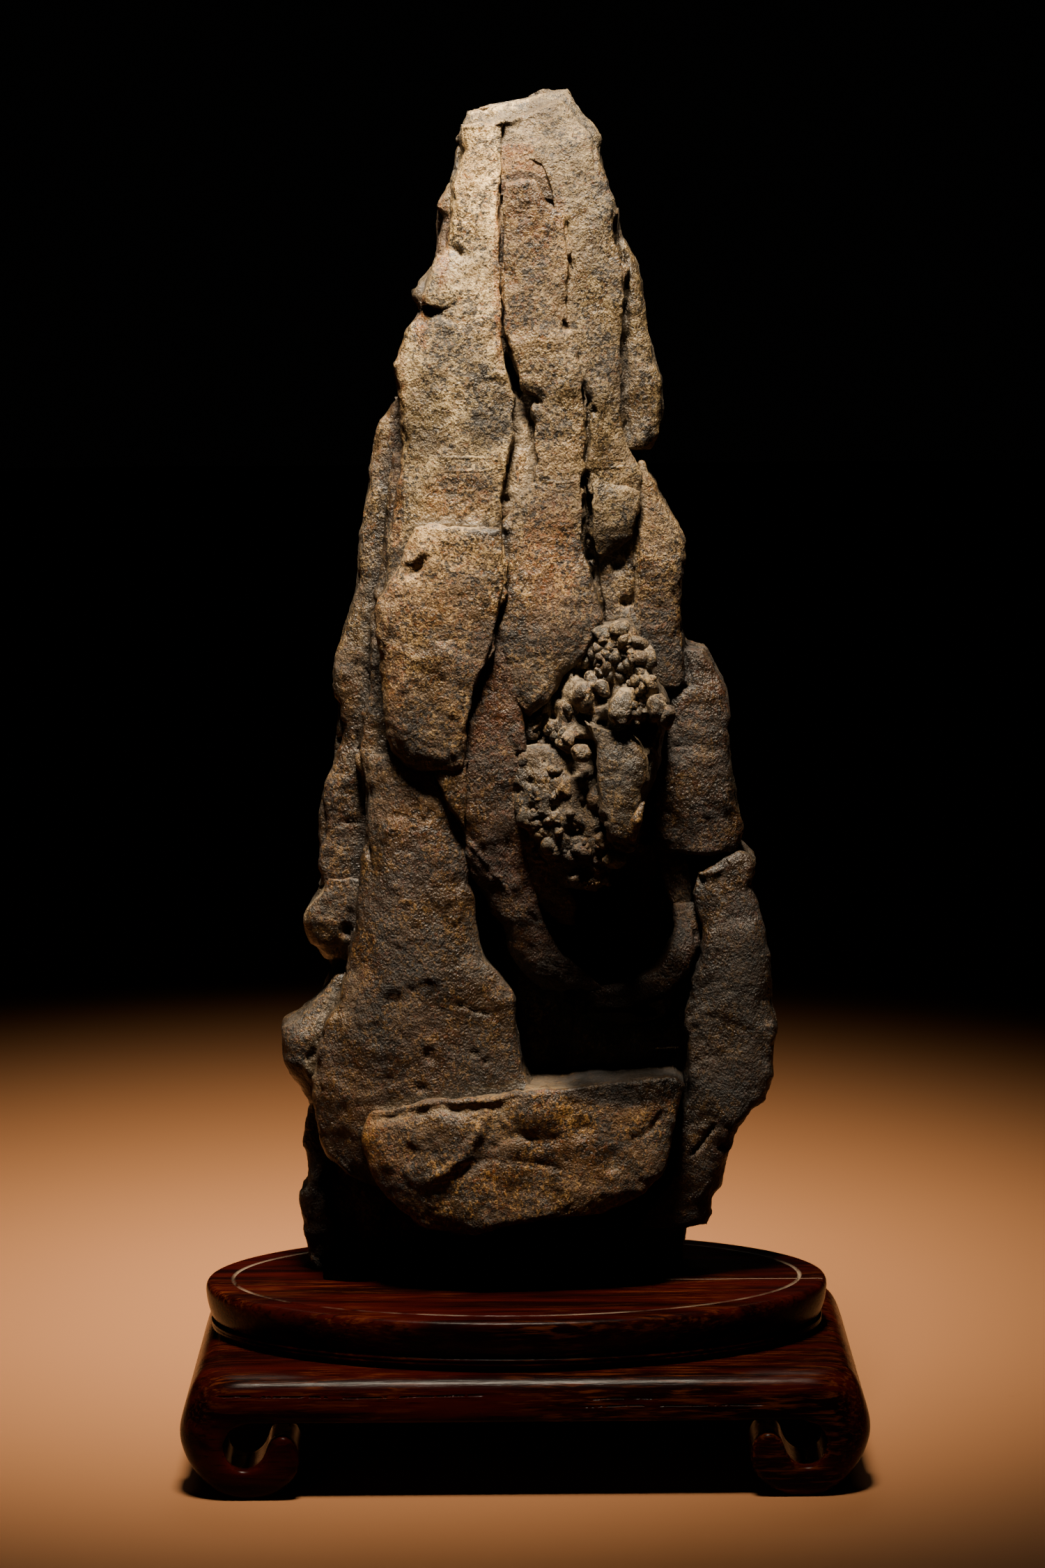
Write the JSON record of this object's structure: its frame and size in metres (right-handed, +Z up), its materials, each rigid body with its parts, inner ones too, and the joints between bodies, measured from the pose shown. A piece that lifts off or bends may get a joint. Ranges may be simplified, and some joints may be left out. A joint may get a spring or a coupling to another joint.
{
  "type": "lingbi scholar stone on a carved stand",
  "caption": "Tall slender lingbi scholar stone with layered slabs, ledges and a nodular cluster, standing on an oval board over a dark wooden base with scrolled feet.",
  "frame": {"origin": "on the ground, under the middle of the whole object's bounding box", "axes": "+Z up, -Y towards the front of the stone, +X to the right as seen from the front"},
  "size_m": [0.2534, 0.152, 0.5084],
  "materials": {
    "stone": "natural weathered limestone, matt with worn satin edges",
    "rosewood": "dark polished rosewood, satin"
  },
  "bodies": {
    "root": {"stone": "stone", "stand_board": "rosewood", "stand_band": "rosewood", "stand_base": "rosewood"}
  },
  "joints": []
}
